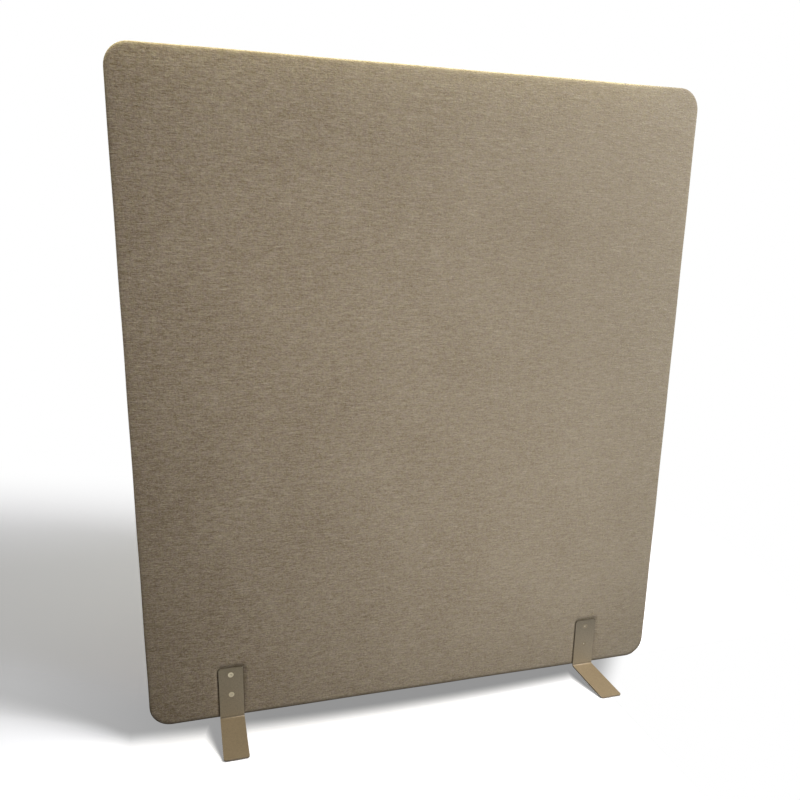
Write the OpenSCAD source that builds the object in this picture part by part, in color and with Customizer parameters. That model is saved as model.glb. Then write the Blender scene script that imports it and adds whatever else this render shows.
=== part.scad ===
// Free-standing acoustic divider screen: a padded, cloth-covered panel on four bent steel feet.
// Millimetres. The floor is z = 0, the front looks along -Y, and the origin is on the floor
// under the middle of the panel. Front and back are alike, and so are left and right.

/* [Panel] */
// Width of the panel with its cloth on
panel_w = 1200; // [1000:10:1600]
// Height of the panel with its cloth on
panel_h = 1350; // [1100:10:1800]
// Thickness of the panel from cloth face to cloth face
panel_t = 40; // [38:1:60]
// Radius of the panel's four corners, seen from the front
corner_r = 45; // [30:1:50]
// Radius of the padded turn from a face into the edge
edge_r = 12; // [9:1:14]
// Height of the panel's underside above the floor
floor_gap = 6; // [6:1:10]

/* [Cloth and padding] */
// Thickness of the cover cloth
cover_t = 1; // [0.8:0.1:1.5]
// Thickness of the wadding on each face
face_wadding_t = 5; // [3.5:0.5:6]
// Thickness of the wadding round the edge
edge_wadding_t = 4; // [3.5:0.5:6]
// Diameter of the thread that binds the raw edges of the seam
thread_d = 0.8; // [0.5:0.1:1]

/* [Timber frame] */
// Width of the stiles and rails, seen from the front
member_w = 38; // [36:1:44]
// Diameter of the dowels between rails and stiles
dowel_d = 8; // [6:1:10]
// Length of the dowels
dowel_l = 30; // [20:1:36]
// Distance between the two dowels of a joint
dowel_pitch = 16; // [14:1:18]
// Width of the blocks that take the screws of the feet
block_w = 90; // [76:1:140]
// Height of the blocks above the bottom rail
block_h = 90; // [80:1:140]
// Space left between the acoustic batts and the timber
core_play = 0.5; // [0.3:0.1:2]

/* [Feet] */
// Width of the flat steel
foot_w = 52; // [40:1:70]
// Thickness of the flat steel
foot_t = 3; // [3:0.5:5]
// Height of a foot from the underside of its steel to its top
foot_h = 124; // [118:1:144]
// Reach of a foot over the floor, from the face of the cloth to its tip
foot_reach = 143; // [100:1:220]
// Inside radius of the bend
bend_r = 3; // [2:0.5:6]
// Radius of the corners at the top and at the tip
foot_corner_r = 6; // [3:0.5:12]
// Distance from the panel's side to the near side of a foot
foot_inset = 145; // [100:1:220]
// Distance from the top of a foot to its upper screw
hole_inset = 16; // [12:1:20]
// Distance between the two screws of a foot
hole_pitch = 48; // [40:1:52]
// Thickness of the pads under the feet
pad_t = 1.5; // [1:0.5:3]
// Distance from the edges of a foot to its pad
pad_margin = 4; // [2:1:10]

/* [Fasteners] */
// Thread diameter of the countersunk screws in the feet
screw_d = 6; // [4:1:6]
// Head diameter of those screws
screw_head_d = 12; // [11:0.5:12]
// Length of those screws with their heads
screw_l = 20; // [16:1:22]
// Width across the flats of their sockets
socket_w = 4; // [2.5:0.5:5]
// Depth of their sockets
socket_depth = 2.2; // [1.5:0.1:2.5]
// Diameter of the threaded inserts in the blocks
insert_d = 10; // [9:0.5:12]
// Length of the threaded inserts
insert_l = 12; // [9:0.5:13]
// Diameter of the wood screws that hold the blocks
wood_screw_d = 5; // [4:0.5:6]
// Length of those wood screws
wood_screw_l = 70; // [60:1:90]
// Distance of a wood screw from the middle of its block
wood_screw_offset = 30; // [20:1:32]
// Width of the staples that close the cover
staple_crown = 10; // [8:0.5:10]
// Length of their legs
staple_leg = 12; // [10:0.5:16]
// Distance from staple to staple
staple_pitch = 100; // [40:5:150]

/* [Hidden] */
$fn = 64;

// Colours
timber_colour = "#c9a877";
block_colour = "#b8935f";
dowel_colour = "#d8bd92";
core_colour = "#b9b6a4";
wadding_colour = "#e9e6dc";
cloth_colour = "#8e806a";
thread_colour = "#6f6452";
strip_colour = "#3a3835";
steel_colour = "#8d7f60";
plated_colour = "#b9b096";
brass_colour = "#c2a254";
pad_colour = "#4c4a47";

// A cut runs this far past the face that it opens
overrun = 1;
// Room round a screw in the cloth, the wadding and the steel
screw_play = 0.3;
// Room between the head of a screw and its countersink
head_play = 0.1;
// Room between a thread and its nut
thread_play = 0.05;
// Room round the leg of a staple
leg_play = 0.1;
// Room past each end of a dowel
dowel_end_play = 1;
// Room between the legs of the staples and the heads of the wood screws
staple_play = 1;
// Room round the heads of the wood screws in their counterbores
counterbore_play = 0.5;
// Bevel on the ends of dowels and screws
end_bevel = 1;

// Layers of the panel, from the outside in
frame_t = panel_t - 2 * (cover_t + face_wadding_t);
frame_inset = cover_t + edge_wadding_t;
frame_w = panel_w - 2 * frame_inset;
frame_h = panel_h - 2 * frame_inset;
frame_corner_r = corner_r - frame_inset;
seam_allowance = edge_wadding_t - thread_d;
face_y = -panel_t / 2;

// Straight lengths of the panel's outline between its corners: across, and up
straights = [panel_w - 2 * corner_r, panel_h - 2 * corner_r];

// Heights above the floor
panel_mid_z = floor_gap + panel_h / 2;
frame_bottom_z = floor_gap + frame_inset;
frame_top_z = frame_bottom_z + frame_h;
bottom_rail_z = frame_bottom_z + member_w / 2;
top_rail_z = frame_top_z - member_w / 2;
middle_rail_z = (bottom_rail_z + top_rail_z) / 2;
foot_top_z = pad_t + foot_h;
upper_screw_z = foot_top_z - hole_inset;
lower_screw_z = upper_screw_z - hole_pitch;

// Places across the width
stile_inner_x = frame_w / 2 - member_w;
rail_l = 2 * stile_inner_x;
foot_x = panel_w / 2 - foot_inset - foot_w / 2;

// Pads
pad_w = foot_w - 2 * pad_margin;
pad_l = foot_reach - foot_t - bend_r - 2 * pad_margin;
pad_corner_r = foot_corner_r / 2;

// Closing strip and staple wire
strip_t = 0.8;
strip_margin = 0.5;
strip_w = panel_t - 2 * edge_r - 2 * strip_margin;
wire_t = 0.7;
wire_w = 1.2;
staple_count = floor(straights[0] / staple_pitch);

// Wood screws, sunk deeper into the bottom rail than the legs of the staples reach
wood_head_d = 2 * wood_screw_d;
wood_point_l = 2 * wood_screw_d;
wood_sink = staple_leg - strip_t - frame_inset + staple_play;

// Threaded inserts: the thread outside is a row of ridges
insert_ridges = 6;
insert_ridge_h = insert_d / 14;

// Helpers: places and flat outlines

// Raises a shape drawn in x and z, with its near side at y_near
module upright(y_near, depth) {
    translate([0, y_near + depth, 0]) rotate([90, 0, 0]) linear_extrude(depth) children();
}

module at_right() {
    mirror([1, 0, 0]) children();
}

module at_back() {
    mirror([0, 1, 0]) children();
}

module rounded_rect(w, h, r) {
    square([w - 2 * r, h], center = true);
    square([w, h - 2 * r], center = true);
    for (x = [-1, 1], y = [-1, 1])
        translate([x * (w / 2 - r), y * (h / 2 - r)]) circle(r);
}

// A strip that starts square at y = 0 and ends in two round corners at y = l
module tongue(w, l, r) {
    translate([-w / 2, 0]) square([w, l - r]);
    translate([r - w / 2, 0]) square([w - 2 * r, l]);
    for (x = [-1, 1])
        translate([x * (w / 2 - r), l - r]) circle(r);
}

// The panel's outline as seen from the front, drawn in by inset
module panel_outline(inset) {
    translate([0, panel_mid_z])
        rounded_rect(panel_w - 2 * inset, panel_h - 2 * inset, corner_r - inset);
}

// Two places, one for each screw of the left foot, on the face of the front foot
module at_foot_screws() {
    for (z = [lower_screw_z, upper_screw_z])
        translate([-foot_x, face_y - foot_t, z]) rotate([-90, 0, 0]) children();
}

// The holes that the screws of all feet need in the cloth and the wadding
module foot_screw_bores() {
    for (x = [-foot_x, foot_x], z = [lower_screw_z, upper_screw_z])
        translate([x, 0, z]) rotate([90, 0, 0])
            cylinder(d = screw_d + 2 * screw_play, h = panel_t + 2 * overrun, center = true);
}

// The holes for the threaded inserts, straight through the block
module insert_bores() {
    for (z = [lower_screw_z, upper_screw_z])
        translate([-foot_x, 0, z]) rotate([90, 0, 0])
            cylinder(d = insert_d, h = frame_t + 2 * overrun, center = true);
}

// Timber frame

module timber(colour = timber_colour) {
    color(colour)
        upright(-frame_t / 2, frame_t)
            intersection() {
                panel_outline(frame_inset);
                children();
            }
}

module at_dowels(z) {
    for (x = [-stile_inner_x, stile_inner_x], rise = [-dowel_pitch / 2, dowel_pitch / 2])
        translate([x, 0, z + rise]) rotate([0, 90, 0]) children();
}

module dowel_bores(z) {
    at_dowels(z) cylinder(d = dowel_d, h = dowel_l + 2 * dowel_end_play, center = true);
}

module dowels(z) {
    color(dowel_colour)
        at_dowels(z)
            rotate_extrude()
                polygon([
                    [0, -dowel_l / 2],
                    [dowel_d / 2 - end_bevel, -dowel_l / 2],
                    [dowel_d / 2, end_bevel - dowel_l / 2],
                    [dowel_d / 2, dowel_l / 2 - end_bevel],
                    [dowel_d / 2 - end_bevel, dowel_l / 2],
                    [0, dowel_l / 2]
                ]);
}

module left_stile() {
    difference() {
        timber() translate([-frame_w / 2, frame_bottom_z]) square([member_w, frame_h]);
        dowel_bores(top_rail_z);
        dowel_bores(middle_rail_z);
        dowel_bores(bottom_rail_z);
    }
}

module rail(z) {
    difference() {
        timber() translate([0, z]) square([rail_l, member_w], center = true);
        dowel_bores(z);
    }
}

module bottom_rail() {
    difference() {
        rail(bottom_rail_z);
        block_screw_bores();
        at_right() block_screw_bores();
        staple_leg_bores();
    }
}

// Blocks that take the feet, with their wood screws and threaded inserts

module block_outline(play = 0) {
    translate([-foot_x - block_w / 2 - play, bottom_rail_z + member_w / 2 - play])
        square([block_w + 2 * play, block_h + 2 * play]);
}

module left_foot_block() {
    difference() {
        timber(block_colour) block_outline();
        insert_bores();
        block_screw_bores();
    }
}

module at_block_screws() {
    for (x = [-wood_screw_offset, wood_screw_offset])
        translate([x - foot_x, 0, frame_bottom_z + wood_sink]) children();
}

// A screw with its head's face at z = 0 that points up, as a profile to turn
function countersunk_profile(head_r, shank_r, l, point_l, point_r) = [
    [0, 0],
    [head_r, 0],
    [shank_r, head_r - shank_r],
    [shank_r, l - point_l],
    [point_r, l],
    [0, l]
];

module block_screw_bores() {
    at_block_screws() {
        rotate_extrude()
            polygon(countersunk_profile(
                wood_head_d / 2, wood_screw_d / 2, wood_screw_l, wood_point_l, 0
            ));
        translate([0, 0, -wood_sink - overrun])
            cylinder(d = wood_head_d + 2 * counterbore_play, h = wood_sink + overrun);
    }
}

module left_block_screws() {
    color(plated_colour)
        at_block_screws()
            difference() {
                rotate_extrude()
                    polygon(countersunk_profile(
                        wood_head_d / 2, wood_screw_d / 2, wood_screw_l, wood_point_l, 0
                    ));
                translate([0, 0, -overrun])
                    cylinder(d = socket_w, h = socket_depth + overrun, $fn = 6);
            }
}

// One insert with its mouth at z = 0, sunk towards +z
module threaded_insert() {
    ridge_l = insert_l / insert_ridges;
    root_r = insert_d / 2 - insert_ridge_h;
    difference() {
        rotate_extrude()
            polygon(concat(
                [[0, 0]],
                [for (i = [0:insert_ridges - 1], half = [0, 1])
                    [root_r + half * insert_ridge_h, (i + half / 2) * ridge_l]],
                [[root_r, insert_l], [0, insert_l]]
            ));
        translate([0, 0, -overrun])
            cylinder(d = screw_d, h = insert_l + 2 * overrun);
    }
}

module left_inserts() {
    color(brass_colour)
        for (z = [lower_screw_z, upper_screw_z], turn = [-90, 90])
            translate([-foot_x, 0, z]) rotate([turn, 0, 0])
                translate([0, 0, -frame_t / 2]) threaded_insert();
}

// Acoustic core: two batts between the rails

module batt_outline(z_low, z_high) {
    translate([core_play - stile_inner_x, z_low + core_play])
        square([rail_l - 2 * core_play, z_high - z_low - 2 * core_play]);
}

module upper_core() {
    color(core_colour)
        upright(-frame_t / 2, frame_t)
            batt_outline(middle_rail_z + member_w / 2, top_rail_z - member_w / 2);
}

module lower_core() {
    color(core_colour)
        upright(-frame_t / 2, frame_t)
            difference() {
                batt_outline(bottom_rail_z + member_w / 2, middle_rail_z - member_w / 2);
                block_outline(core_play);
                mirror([1, 0]) block_outline(core_play);
            }
}

// Padding and cloth: each face has a tray of wadding inside a tray of cloth

// Section through the padded edge. It runs outwards from the centre of a corner, and up from
// the panel's middle plane to the face. It starts by past below the middle plane.
module edge_section(inset, past) {
    reach = corner_r - inset;
    depth = panel_t / 2 - inset;
    turn_r = edge_r - inset;
    translate([0, -past]) square([reach - turn_r, depth + past]);
    translate([0, -past]) square([reach, depth - turn_r + past]);
    translate([reach - turn_r, depth - turn_r])
        intersection() {
            circle(turn_r);
            square(turn_r);
        }
}

// The front half of the padded panel, drawn in by inset on all its sides
module half_slab(inset, past = 0) {
    translate([0, 0, panel_mid_z]) rotate([90, 0, 0]) {
        translate([-straights[0] / 2, -straights[1] / 2, -past])
            cube([straights[0], straights[1], panel_t / 2 - inset + past]);
        for (side = [0:3]) {
            out = straights[side % 2] / 2;
            along = straights[(side + 1) % 2];
            rotate(90 * side) {
                translate([out, 0, 0])
                    rotate([90, 0, 0])
                        linear_extrude(along, center = true) edge_section(inset, past);
                translate([out, along / 2, 0])
                    rotate_extrude(angle = 90) edge_section(inset, past);
            }
        }
    }
}

module front_wadding() {
    color(wadding_colour)
        difference() {
            half_slab(cover_t);
            upright(-frame_t / 2, panel_t) panel_outline(frame_inset);
            upright(-cover_t, panel_t) panel_outline(0);
            foot_screw_bores();
            staple_leg_bores();
        }
}

// The cloth turned inwards along the seam: up both sides and over the top
module seam_turning() {
    upright(-cover_t, cover_t)
        difference() {
            panel_outline(cover_t / 2);
            panel_outline(cover_t + seam_allowance);
            translate([-straights[0] / 2, floor_gap - overrun])
                square([straights[0], corner_r]);
        }
}

module front_cover() {
    color(cloth_colour)
        difference() {
            union() {
                difference() {
                    half_slab(0);
                    half_slab(cover_t, overrun);
                }
                seam_turning();
            }
            foot_screw_bores();
            staple_leg_bores();
        }
}

// Binds the raw edges of the turned-in cloth, between the two trays of wadding
module seam_thread() {
    path_r = corner_r - frame_inset + thread_d / 2;
    color(thread_colour)
        translate([0, 0, panel_mid_z]) rotate([90, 0, 0])
            for (side = [0:3]) {
                out = straights[side % 2] / 2;
                along = straights[(side + 1) % 2];
                rotate(90 * side) {
                    translate([out, along / 2, 0])
                        rotate_extrude(angle = 90) translate([path_r, 0]) circle(d = thread_d);
                    if (side < 3)
                        translate([out + path_r, 0, 0])
                            rotate([90, 0, 0]) cylinder(d = thread_d, h = along, center = true);
                }
            }
}

// Closing of the cover: a strip stapled over the raw edges along the underside

module at_staples() {
    for (i = [0:staple_count - 1])
        translate([(i - (staple_count - 1) / 2) * staple_pitch, 0, floor_gap - strip_t]) children();
}

module staple_leg_bores() {
    at_staples()
        for (side = [-1, 1])
            translate([0, side * (staple_crown - wire_t) / 2, staple_leg / 2])
                cube([wire_w + 2 * leg_play, wire_t + 2 * leg_play, staple_leg + 2 * leg_play],
                    center = true);
}

module closing_strip() {
    color(strip_colour)
        difference() {
            translate([-straights[0] / 2, -strip_w / 2, floor_gap - strip_t])
                cube([straights[0], strip_w, strip_t]);
            staple_leg_bores();
        }
}

module closing_staples() {
    color(plated_colour)
        at_staples() {
            translate([-wire_w / 2, -staple_crown / 2, -wire_t])
                cube([wire_w, staple_crown, wire_t]);
            for (side = [-1, 1])
                translate([-wire_w / 2, side * (staple_crown - wire_t) / 2 - wire_t / 2, -wire_t])
                    cube([wire_w, wire_t, staple_leg + wire_t]);
        }
}

// Feet: flat steel bent to an L, with countersunk screws and a pad under each

module left_front_foot() {
    bend_y = face_y - foot_t - bend_r;
    bend_z = pad_t + foot_t + bend_r;
    color(steel_colour)
        difference() {
            translate([-foot_x, 0, 0]) {
                upright(face_y - foot_t, foot_t)
                    translate([0, bend_z]) tongue(foot_w, foot_top_z - bend_z, foot_corner_r);
                translate([0, bend_y, bend_z])
                    rotate([0, -90, 0]) rotate([0, 0, 90])
                        rotate_extrude(angle = 90)
                            translate([bend_r, -foot_w / 2]) square([foot_t, foot_w]);
                translate([0, bend_y, pad_t])
                    linear_extrude(foot_t)
                        mirror([0, 1])
                            tongue(foot_w, bend_y - face_y + foot_reach, foot_corner_r);
            }
            at_foot_screws() {
                translate([0, 0, -overrun])
                    cylinder(
                        r1 = screw_head_d / 2 + head_play + overrun,
                        r2 = 0,
                        h = screw_head_d / 2 + head_play + overrun
                    );
                translate([0, 0, -overrun])
                    cylinder(d = screw_d + 2 * screw_play, h = foot_t + 2 * overrun);
            }
        }
}

module left_front_screws() {
    color(plated_colour)
        at_foot_screws()
            difference() {
                rotate_extrude()
                    polygon(countersunk_profile(
                        screw_head_d / 2, screw_d / 2 - thread_play, screw_l,
                        end_bevel, screw_d / 2 - end_bevel
                    ));
                translate([0, 0, -overrun])
                    cylinder(d = socket_w / cos(30), h = socket_depth + overrun, $fn = 6);
            }
}

module left_front_pad() {
    color(pad_colour)
        translate([-foot_x, face_y - foot_reach + pad_margin + pad_l / 2, 0])
            linear_extrude(pad_t) rounded_rect(pad_w, pad_l, pad_corner_r);
}

left_stile();
at_right() left_stile();  // right_stile
rail(top_rail_z);  // top_rail
rail(middle_rail_z);  // middle_rail
bottom_rail();
dowels(top_rail_z);  // top_rail_dowels
dowels(middle_rail_z);  // middle_rail_dowels
dowels(bottom_rail_z);  // bottom_rail_dowels
left_foot_block();
at_right() left_foot_block();  // right_foot_block
left_block_screws();
at_right() left_block_screws();  // right_block_screws
left_inserts();
at_right() left_inserts();  // right_inserts
upper_core();
lower_core();
front_wadding();
at_back() front_wadding();  // back_wadding
front_cover();
at_back() front_cover();  // back_cover
seam_thread();
closing_strip();
closing_staples();
left_front_foot();
at_right() left_front_foot();  // right_front_foot
at_back() left_front_foot();  // left_back_foot
at_back() at_right() left_front_foot();  // right_back_foot
left_front_screws();
at_right() left_front_screws();  // right_front_screws
at_back() left_front_screws();  // left_back_screws
at_back() at_right() left_front_screws();  // right_back_screws
left_front_pad();
at_right() left_front_pad();  // right_front_pad
at_back() left_front_pad();  // left_back_pad
at_back() at_right() left_front_pad();  // right_back_pad
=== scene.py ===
from math import pi, radians

import bpy
import numpy as np
from mathutils import Matrix, Vector


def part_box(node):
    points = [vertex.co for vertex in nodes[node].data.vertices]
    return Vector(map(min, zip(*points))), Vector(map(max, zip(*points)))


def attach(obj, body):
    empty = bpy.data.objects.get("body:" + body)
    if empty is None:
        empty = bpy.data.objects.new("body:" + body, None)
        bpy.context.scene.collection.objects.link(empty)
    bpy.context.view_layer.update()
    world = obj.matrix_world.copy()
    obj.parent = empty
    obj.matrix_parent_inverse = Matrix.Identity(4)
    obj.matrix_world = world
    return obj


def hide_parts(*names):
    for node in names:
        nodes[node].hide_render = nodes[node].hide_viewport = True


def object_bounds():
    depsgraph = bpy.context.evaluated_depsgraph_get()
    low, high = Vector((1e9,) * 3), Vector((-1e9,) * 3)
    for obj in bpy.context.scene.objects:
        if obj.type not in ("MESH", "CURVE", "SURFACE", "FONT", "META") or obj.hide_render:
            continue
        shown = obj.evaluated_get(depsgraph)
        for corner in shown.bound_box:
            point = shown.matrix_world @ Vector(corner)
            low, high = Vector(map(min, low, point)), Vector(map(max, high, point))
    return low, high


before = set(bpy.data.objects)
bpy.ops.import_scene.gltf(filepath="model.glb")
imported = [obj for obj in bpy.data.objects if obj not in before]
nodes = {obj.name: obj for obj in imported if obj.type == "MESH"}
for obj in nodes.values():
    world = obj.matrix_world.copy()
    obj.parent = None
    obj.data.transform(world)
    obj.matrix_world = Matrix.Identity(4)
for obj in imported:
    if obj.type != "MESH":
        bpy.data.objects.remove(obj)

cad_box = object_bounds()


# Camera. It stands in front of the screen's left half at chest height, turned to the right and
# tilted down a little, as the perspective of the panel's four edges gives it. Lengths are metres.

camera_place = Vector((-0.4845, -1.5150, 1.0331))
turn_right = radians(16.50)
tilt_down = radians(14.09)
roll = radians(1.15)

camera_data = bpy.data.cameras.new("camera")
camera_data.sensor_width = 36
camera_data.lens = 33.82
camera_data.shift_x = -0.0086
camera_data.shift_y = 0.0342
camera_data.clip_end = 100
camera = bpy.data.objects.new("camera", camera_data)
camera.matrix_world = (
    Matrix.Translation(camera_place)
    @ Matrix.Rotation(-turn_right, 4, "Z")
    @ Matrix.Rotation(pi / 2 - tilt_down, 4, "X")
    @ Matrix.Rotation(roll, 4, "Z")
)
bpy.context.scene.collection.objects.link(camera)
bpy.context.scene.camera = camera
bpy.context.scene.view_settings.view_transform = "Standard"


# Stage: a plain pale floor that keeps the shadow of the screen and runs out into white. Seen
# directly or in metal, floor and world are white, and what they send to the cloth is grey. The
# floor washes out the weak shades close to the screen, so its material draws those.

def add(tree, kind, inputs=None, **settings):
    """Adds one shader node with its settings. An input gets a plain value, or a link from a socket."""
    made = tree.nodes.new(kind)
    for name, value in settings.items():
        setattr(made, name, value)
    for socket, value in (inputs or {}).items():
        if isinstance(value, bpy.types.NodeSocket):
            tree.links.new(value, made.inputs[socket])
        else:
            made.inputs[socket].default_value = value
    return made


def linear(code):
    """Linear colour of an sRGB hex code: each channel c above 0.04 is ((c + 0.055) / 1.055) ^ 2.4."""
    channels = np.array([int(code[i:i + 2], 16) for i in (1, 3, 5)]) / 255
    low = channels / 12.92
    high = ((channels + 0.055) / 1.055) ** 2.4
    return (*np.where(channels > 0.04045, high, low), 1.0)


def new_tree(owner):
    """Turns on the nodes of a material or world, and empties them."""
    owner.use_nodes = True
    owner.node_tree.nodes.clear()
    return owner.node_tree


def background_rays(tree):
    """1 for the rays that show the background: those from the camera, from gloss and through glass."""
    ray = add(tree, "ShaderNodeLightPath")
    seen = add(tree, "ShaderNodeMath", {0: ray.outputs["Is Camera Ray"], 1: ray.outputs["Is Glossy Ray"]},
               operation="MAXIMUM")
    return add(tree, "ShaderNodeMath", {0: seen.outputs[0], 1: ray.outputs["Is Transmission Ray"]},
               operation="MAXIMUM")


foot_low, foot_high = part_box("left_front_foot")
foot_x = -(foot_low.x + foot_high.x) / 2
floor_radius = 9.0
floor_grey = linear("#7c7c7a")
floor_white = (1.68, 1.68, 1.72, 1)
under_front = -0.078
under_bend = 0.08
shadow_way = (-0.68, -1, 0)
shadow_start = -0.4805
soft_start = -0.398
soft_growth = -0.717
soft_least = 0.078
soft_share = (-0.45, 0.55)
drawn_depth = (-0.08, -0.28)
line_ends = (0.5, 0.58)
patch_slant = -0.83
patch_ends = (0.485, 0.575)
patch_least = 0.2
contact_grey = linear("#949494")
corner_grey = linear("#b8b8b8")
corner_x = (-0.91, -0.36)
fan_slopes = (0.39, 0.35)
fan_soft = (0.4, 1.3)
fan_least = 0.0005
white_middle = (-0.4, 0.8, 0)
white_from = 1.3
white_to = 1.75
fade_way = (0.284, 0.959, 0)
fade_depth = (0.85, 1.6)
world_light = 0.18

floor_paint = bpy.data.materials.new("pale_studio_floor")
tree = new_tree(floor_paint)
seen = background_rays(tree)
place = add(tree, "ShaderNodeTexCoord")
axes = add(tree, "ShaderNodeSeparateXYZ", {0: place.outputs["Object"]})

# The drawn shade starts as a soft line in front of the panel, bent back a little at its ends. At
# the left corner it turns off along the key's shadow and softens with the distance. Further back
# it gives way to the real shadow. near is 0 where the floor is fully shaded and 1 where it is open.
bend = add(tree, "ShaderNodeMath", {0: axes.outputs[0], 1: axes.outputs[0]}, operation="MULTIPLY")
bend = add(tree, "ShaderNodeMath", {0: bend.outputs[0], 1: under_bend, 2: under_front},
           operation="MULTIPLY_ADD")
before = add(tree, "ShaderNodeMath", {0: bend.outputs[0], 1: axes.outputs[1]}, operation="SUBTRACT")
past_line = add(tree, "ShaderNodeVectorMath", {0: place.outputs["Object"], 1: shadow_way},
                operation="DOT_PRODUCT")
past_line = add(tree, "ShaderNodeMath", {0: past_line.outputs["Value"], 1: shadow_start}, operation="ADD")
before = add(tree, "ShaderNodeMath", {0: before.outputs[0], 1: past_line.outputs[0]}, operation="MAXIMUM")
softness = add(tree, "ShaderNodeMath", {0: axes.outputs[0], 1: soft_growth, 2: soft_start},
               operation="MULTIPLY_ADD")
softness = add(tree, "ShaderNodeMath", {0: softness.outputs[0], 1: soft_least}, operation="MAXIMUM")
near = add(tree, "ShaderNodeMath", {0: before.outputs[0], 1: softness.outputs[0]}, operation="DIVIDE")
near = add(tree, "ShaderNodeMapRange",
           {"Value": near.outputs[0], "From Min": soft_share[0], "From Max": soft_share[1]},
           interpolation_type="SMOOTHSTEP")
behind = add(tree, "ShaderNodeMapRange",
             {"Value": before.outputs[0], "From Min": drawn_depth[0], "From Max": drawn_depth[1]},
             interpolation_type="SMOOTHSTEP")
near = add(tree, "ShaderNodeMath", {0: near.outputs[0], 1: behind.outputs[0]}, operation="MAXIMUM")

# A narrow fan lies on the left of each leg, widest at the panel and closed at the leg's tip.
depth = add(tree, "ShaderNodeMath", {0: axes.outputs[1]}, operation="ABSOLUTE")
beside_leg = add(tree, "ShaderNodeMath", {0: foot_low.x, 1: axes.outputs[0]}, operation="SUBTRACT")
beside_leg = add(tree, "ShaderNodeMath", {0: beside_leg.outputs[0], 1: 2 * foot_x, 2: 0.0},
                 operation="WRAP")
to_tip = add(tree, "ShaderNodeMath", {0: -foot_low.y, 1: depth.outputs[0]}, operation="SUBTRACT")
slope = add(tree, "ShaderNodeMapRange",
            {"Value": axes.outputs[0], "From Min": foot_low.x, "From Max": -foot_low.x,
             "To Min": fan_slopes[0], "To Max": fan_slopes[1]})
fan_width = add(tree, "ShaderNodeMath", {0: to_tip.outputs[0], 1: slope.outputs[0]}, operation="MULTIPLY")
fan_width = add(tree, "ShaderNodeMath", {0: fan_width.outputs[0], 1: fan_least}, operation="MAXIMUM")
fan = add(tree, "ShaderNodeMath", {0: beside_leg.outputs[0], 1: fan_width.outputs[0]}, operation="DIVIDE")
fan = add(tree, "ShaderNodeMapRange",
          {"Value": fan.outputs[0], "From Min": fan_soft[0], "From Max": fan_soft[1]},
          interpolation_type="SMOOTHSTEP")
wide = add(tree, "ShaderNodeMath", {0: axes.outputs[0]}, operation="ABSOLUTE")
beyond = add(tree, "ShaderNodeMath", {0: wide.outputs[0], 1: cad_box[1][0]}, operation="GREATER_THAN")
fan = add(tree, "ShaderNodeMath", {0: fan.outputs[0], 1: beyond.outputs[0]}, operation="MAXIMUM")
near = add(tree, "ShaderNodeMath", {0: near.outputs[0], 1: fan.outputs[0]}, operation="MINIMUM")

# The line ends at the right-hand foot. In front of the panel past that foot, a soft patch takes
# its place, and beyond the patch the floor is white.
past_end = add(tree, "ShaderNodeMapRange",
               {"Value": axes.outputs[0], "From Min": line_ends[0], "From Max": line_ends[1]},
               interpolation_type="SMOOTHSTEP")
near = add(tree, "ShaderNodeMath", {0: near.outputs[0], 1: past_end.outputs[0]}, operation="MAXIMUM")
right = add(tree, "ShaderNodeMath", {0: axes.outputs[0], 1: foot_x}, operation="GREATER_THAN")
front = add(tree, "ShaderNodeMath", {0: axes.outputs[1], 1: 0.0}, operation="LESS_THAN")
right = add(tree, "ShaderNodeMath", {0: right.outputs[0], 1: front.outputs[0]}, operation="MULTIPLY")
near = add(tree, "ShaderNodeMath", {0: near.outputs[0], 1: right.outputs[0]}, operation="SUBTRACT",
           use_clamp=True)
patch = add(tree, "ShaderNodeMath", {0: axes.outputs[1], 1: patch_slant, 2: axes.outputs[0]},
            operation="MULTIPLY_ADD")
patch = add(tree, "ShaderNodeMapRange",
            {"Value": patch.outputs[0], "From Min": patch_ends[0], "From Max": patch_ends[1],
             "To Min": patch_least},
            interpolation_type="SMOOTHSTEP")
patch = add(tree, "ShaderNodeMath", {0: patch.outputs[0], 1: right.outputs[0]}, operation="MULTIPLY")

# Open floor, drawn shade, and the white that the floor fades to far away and behind the screen.
open_floor = add(tree, "ShaderNodeBsdfDiffuse", {"Color": floor_white})
along = add(tree, "ShaderNodeMapRange",
            {"Value": axes.outputs[0], "From Min": corner_x[0], "From Max": corner_x[1]})
shade = add(tree, "ShaderNodeMixRGB",
            {"Fac": along.outputs[0], "Color1": corner_grey, "Color2": contact_grey})
touched = add(tree, "ShaderNodeEmission", {"Color": shade.outputs[0], "Strength": 1.0})
lit = add(tree, "ShaderNodeMixShader",
          {0: near.outputs[0], 1: touched.outputs[0], 2: open_floor.outputs[0]})
away = add(tree, "ShaderNodeVectorMath", {0: place.outputs["Object"], 1: white_middle},
           operation="DISTANCE")
away = add(tree, "ShaderNodeMapRange",
           {"Value": away.outputs["Value"], "From Min": white_from, "From Max": white_to})
deep = add(tree, "ShaderNodeVectorMath", {0: place.outputs["Object"], 1: fade_way},
           operation="DOT_PRODUCT")
deep = add(tree, "ShaderNodeMapRange",
           {"Value": deep.outputs["Value"], "From Min": fade_depth[0], "From Max": fade_depth[1]},
           interpolation_type="SMOOTHSTEP")
away = add(tree, "ShaderNodeMath", {0: away.outputs[0], 1: deep.outputs[0]}, operation="MAXIMUM")
away = add(tree, "ShaderNodeMath", {0: away.outputs[0], 1: patch.outputs[0]}, operation="MAXIMUM")
white = add(tree, "ShaderNodeEmission", {"Color": (1, 1, 1, 1), "Strength": 1.0})
shown = add(tree, "ShaderNodeMixShader", {0: away.outputs[0], 1: lit.outputs[0], 2: white.outputs[0]})
grey = add(tree, "ShaderNodeBsdfDiffuse", {"Color": floor_grey})
either = add(tree, "ShaderNodeMixShader", {0: seen.outputs[0], 1: grey.outputs[0], 2: shown.outputs[0]})

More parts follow.
